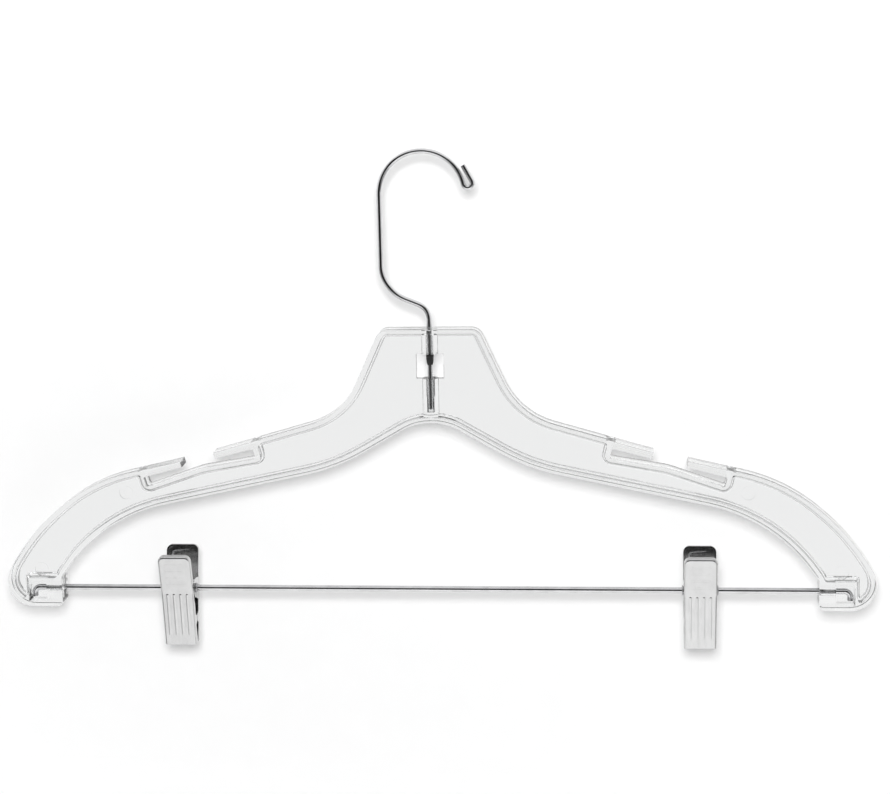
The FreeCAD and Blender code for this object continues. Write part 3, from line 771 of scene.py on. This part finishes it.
class HANGER_OT_stage(bpy.types.Operator):
    """Set up the backdrop, the floor, the light and the camera"""
    bl_idname = "hanger.stage"
    bl_label = "Stage"

    def execute(self, context):
        looks = context.scene.hanger_stage
        self.add_backdrop(looks)
        self.add_dark_card(looks)
        self.add_lamp(looks)
        self.add_world(context.scene, looks)
        self.add_camera(context.scene, looks)
        context.scene.view_settings.view_transform = "Standard"
        return {"FINISHED"}

    def add_backdrop(self, looks):
        """Wall behind the hanger and a floor curved up to it, both seen only from their pale side."""
        wide, steps = looks.half_width, 24
        wall = [(looks.wall_depth, looks.wall_top),
                (looks.wall_depth, looks.floor_height + looks.cove_radius)]
        floor = []
        for index in range(steps + 1):
            angle = math.pi / 2 * index / steps
            floor.append((looks.wall_depth - looks.cove_radius * (1 - math.cos(angle)),
                          looks.floor_height + looks.cove_radius * (1 - math.sin(angle))))
        floor.append((-looks.floor_reach, looks.floor_height))
        finish = self.backdrop_finish(looks)
        for name, profile in (("backdrop_wall", wall), ("pale_floor", floor)):
            mesh = bpy.data.meshes.new(name)
            points = [(across, depth, height) for depth, height in profile for across in (-wide, wide)]
            faces = [(2 * i, 2 * i + 2, 2 * i + 3, 2 * i + 1) for i in range(len(profile) - 1)]
            mesh.from_pydata(points, [], faces)
            shade(mesh, 60)
            mesh.materials.append(finish)
            piece = new_piece(name, mesh)
            piece.visible_transmission = name == "pale_floor"

    def backdrop_finish(self, looks):
        """Matt white paper that keeps shadows, and glows a little where it is seen; far to the sides it does
        not glow in reflections, and it glows more for light turned inside the plastic more than once."""
        material, tree = blank_material("pale_backdrop")
        place = add_node(tree, "ShaderNodeTexCoord")
        paper = add_node(tree, "ShaderNodeTexNoise", scale=60.0, detail=4.0)
        tone = spread(tree, paper, "Fac", looks.backdrop_tone * 0.985, looks.backdrop_tone * 1.015)
        middle = add_node(tree, "ShaderNodeVectorMath", operation="DISTANCE")
        middle.inputs[1].default_value = STAGE_MIDDLE
        split = add_node(tree, "ShaderNodeSeparateXYZ")
        matt = add_node(tree, "ShaderNodeBsdfDiffuse")
        glow = add_node(tree, "ShaderNodeEmission")
        rays = add_node(tree, "ShaderNodeLightPath")
        both = add_node(tree, "ShaderNodeAddShader")
        face = add_node(tree, "ShaderNodeNewGeometry")
        away = add_node(tree, "ShaderNodeBsdfTransparent")
        one_sided = add_node(tree, "ShaderNodeMixShader")
        result = add_node(tree, "ShaderNodeOutputMaterial")
        join_nodes(
            tree,
            (place, "Object", paper, "Vector"), (place, "Object", middle, 0), (place, "Object", split, 0),
            (tone, "Result", matt, "Color"), (matt, 0, both, 0), (glow, 0, both, 1),
            (face, "Backfacing", one_sided, 0), (both, 0, one_sided, 1), (away, 0, one_sided, 2),
            (one_sided, 0, result, "Surface"),
        )
        level = ramp(tree, middle.outputs["Value"], 0.1, 0.7, looks.backdrop_glow, looks.outer_glow)
        across = calc(tree, "ABSOLUTE", split.outputs["X"])
        turned = turned_light(tree, rays, PASS_DEPTH, 1)
        passed = calc(tree, "SUBTRACT", rays.outputs["Is Transmission Ray"], turned)
        mirrored = calc(tree, "MULTIPLY", rays.outputs["Is Glossy Ray"], calc(tree, "SUBTRACT", 1.0, passed))
        aside = calc(tree, "MULTIPLY", ramp(tree, across, 0.3, 0.6), mirrored)
        level = calc(tree, "MULTIPLY", level, calc(tree, "SUBTRACT", 1.0, aside))
        trapped = turned_light(tree, rays, PASS_DEPTH, 2)
        level = calc(tree, "MAXIMUM", level, calc(tree, "MULTIPLY", trapped, 0.9))
        tree.links.new(calc(tree, "MULTIPLY", seen_light(tree, rays), level), glow.inputs["Strength"])
        return material

    def add_dark_card(self, looks):
        """Dark card behind the neck that only light turned inside the plastic sees; it is painted shade,
        which draws a dark line into the rim below the boss, and nothing else sees it."""
        left, right, depth = looks.card_left, looks.card_right, looks.card_depth
        low, high = looks.card_low, looks.card_high
        corners = [(left, depth, low), (right, depth, low), (right, depth, high), (left, depth, high)]
        mesh = bpy.data.meshes.new("dark_card")
        mesh.from_pydata(corners, [], [(0, 1, 2, 3)])
        material, tree = blank_material("painted_shade_card")
        place = add_node(tree, "ShaderNodeTexCoord")
        paper = add_node(tree, "ShaderNodeTexNoise", scale=60.0, detail=4.0)
        # The card's near-black tone is painted shade, seen only through the plastic
        tone = spread(tree, paper, "Fac", looks.dark_level * 0.5, looks.dark_level)
        matt = add_node(tree, "ShaderNodeBsdfDiffuse")
        clear = add_node(tree, "ShaderNodeBsdfTransparent")
        rays = add_node(tree, "ShaderNodeLightPath")
        choice = add_node(tree, "ShaderNodeMixShader")
        result = add_node(tree, "ShaderNodeOutputMaterial")
        join_nodes(tree, (place, "Object", paper, "Vector"), (tone, "Result", matt, "Color"),
                   (clear, 0, choice, 1), (matt, 0, choice, 2), (choice, 0, result, "Surface"))
        tree.links.new(turned_light(tree, rays, PASS_DEPTH, 1), choice.inputs[0])
        mesh.materials.append(material)
        card = new_piece("dark_card", mesh)
        card.visible_camera = card.visible_diffuse = card.visible_glossy = card.visible_shadow = False

    def add_lamp(self, looks):
        """Soft round lamp just above the camera."""
        place = Vector((looks.camera_across + looks.lamp_shift, -looks.camera_away,
                        looks.camera_height + looks.lamp_lift))
        toward = STAGE_MIDDLE - place
        data = bpy.data.lights.new("soft_lamp", "AREA")
        data.shape = "DISK"
        data.size = looks.lamp_size
        data.energy = looks.key_level * math.pi ** 2 * toward.length_squared
        lamp = new_piece("soft_lamp", data)
        lamp.location = place
        lamp.rotation_euler = toward.to_track_quat("-Z", "Y").to_euler()
        lamp.visible_glossy = False
        lamp.visible_transmission = False

    def add_world(self, scene, looks):
        """Even fill for matt surfaces, and white where it is seen. Reflections see a dark room between a pale
        floor and a pale ceiling. Light turned inside the plastic sees grey above, below and beside, and
        light turned there more than once sees the dark room in front as well."""
        world = bpy.data.worlds.new("studio")
        world.use_nodes = True
        tree = world.node_tree
        tree.nodes.clear()
        place = add_node(tree, "ShaderNodeTexCoord")
        split = add_node(tree, "ShaderNodeSeparateXYZ")
        rays = add_node(tree, "ShaderNodeLightPath")
        back = add_node(tree, "ShaderNodeBackground")
        back.inputs["Color"].default_value = (1, 1, 1, 1)
        result = add_node(tree, "ShaderNodeOutputWorld")
        join_nodes(tree, (place, "Generated", split, "Vector"), (back, 0, result, "Surface"))
        through = rays.outputs["Is Transmission Ray"]
        shiny = rays.outputs["Is Glossy Ray"]
        across = calc(tree, "ABSOLUTE", split.outputs["X"])
        forth = calc(tree, "ABSOLUTE", split.outputs["Y"])
        front = calc(tree, "LESS_THAN", split.outputs["Y"], 0.0)
        height = split.outputs["Z"]
        turned = turned_light(tree, rays, PASS_DEPTH_OUTSIDE, 1)
        trapped = turned_light(tree, rays, PASS_DEPTH_OUTSIDE, 2)
        once = calc(tree, "SUBTRACT", turned, trapped)
        grey = calc(tree, "SUBTRACT", 1.3, calc(tree, "MULTIPLY", once, 0.4))
        aside = calc(tree, "MULTIPLY", ramp(tree, forth, 0.88, 0.55, 0.0, 0.42), grey)
        room = calc(tree, "MULTIPLY", ramp(tree, height, -0.42, -0.22), ramp(tree, height, 0.75, 0.5))
        room = calc(tree, "MULTIPLY", room, ramp(tree, across, 0.9, 0.65))
        mirrored = calc(tree, "MULTIPLY", shiny, calc(tree, "SUBTRACT", 1.0, through))
        ahead = calc(tree, "MULTIPLY", front, ramp(tree, forth, 0.6, 0.8))
        dark = calc(tree, "MULTIPLY", turned, aside)
        dark = calc(tree, "MAXIMUM", dark, calc(tree, "MULTIPLY", mirrored, room))
        dark = calc(tree, "MAXIMUM", dark, calc(tree, "MULTIPLY", trapped, ahead))
        white = ramp(tree, dark, 0.0, 1.0, 1.0, looks.dark_level)
        more = calc(tree, "MULTIPLY", seen_light(tree, rays), calc(tree, "SUBTRACT", white, looks.fill_level))
        tree.links.new(calc(tree, "ADD", more, looks.fill_level), back.inputs["Strength"])
        world.cycles.sampling_method = "NONE"
        scene.world = world

    def add_camera(self, scene, looks):
        """Camera at the photograph's viewing angle."""
        place = (looks.camera_across, -looks.camera_away, looks.camera_height)
        yaw, pitch, roll = looks.camera_yaw, looks.camera_pitch, looks.camera_roll
        level = Vector((math.cos(yaw), math.sin(yaw), 0))
        forward = UPWARD.cross(level) * math.cos(pitch) - UPWARD * math.sin(pitch)
        upright = level.cross(forward)
        right = level * math.cos(roll) - upright * math.sin(roll)
        up = upright * math.cos(roll) + level * math.sin(roll)
        data = bpy.data.cameras.new("photo_camera")
        data.lens = looks.camera_lens
        data.sensor_width = looks.camera_film
        camera = new_piece("photo_camera", data)
        turn = Matrix((right, up, -forward)).transposed()
        camera.matrix_world = Matrix.Translation(place) @ turn.to_4x4()
        scene.camera = camera


class HANGER_PT_pieces(bpy.types.Panel):
    """Lists the pieces of the hanger in the sidebar"""
    bl_idname = "HANGER_PT_pieces"
    bl_label = "Clear Suit Hanger"
    bl_space_type = "VIEW_3D"
    bl_region_type = "UI"
    bl_category = "Hanger"

    def draw(self, context):
        for maker in OPERATORS:
            self.layout.operator(maker.bl_idname)


GROUPS = {
    "hanger_hook": HookSizes,
    "hanger_bar": BarSizes,
    "hanger_clips": ClipSizes,
    "hanger_colours": FinishColours,
    "hanger_stage": StageLooks,
}
OPERATORS = (
    HANGER_OT_shoulders,
    HANGER_OT_hook,
    HANGER_OT_bar,
    HANGER_OT_jaws,
    HANGER_OT_pads,
    HANGER_OT_eyelets,
    HANGER_OT_springs,
    HANGER_OT_stage,
)


def register():
    for made in (*GROUPS.values(), *OPERATORS, HANGER_PT_pieces):
        bpy.utils.register_class(made)
    for name, group in GROUPS.items():
        setattr(bpy.types.Scene, name, bpy.props.PointerProperty(type=group))


def unregister():
    for name in GROUPS:
        delattr(bpy.types.Scene, name)
    for made in (HANGER_PT_pieces, *reversed(OPERATORS), *reversed(list(GROUPS.values()))):
        bpy.utils.unregister_class(made)


def main():
    register()
    for maker in OPERATORS:
        group, name = maker.bl_idname.split(".")
        getattr(getattr(bpy.ops, group), name)()


if __name__ == "__main__":
    main()
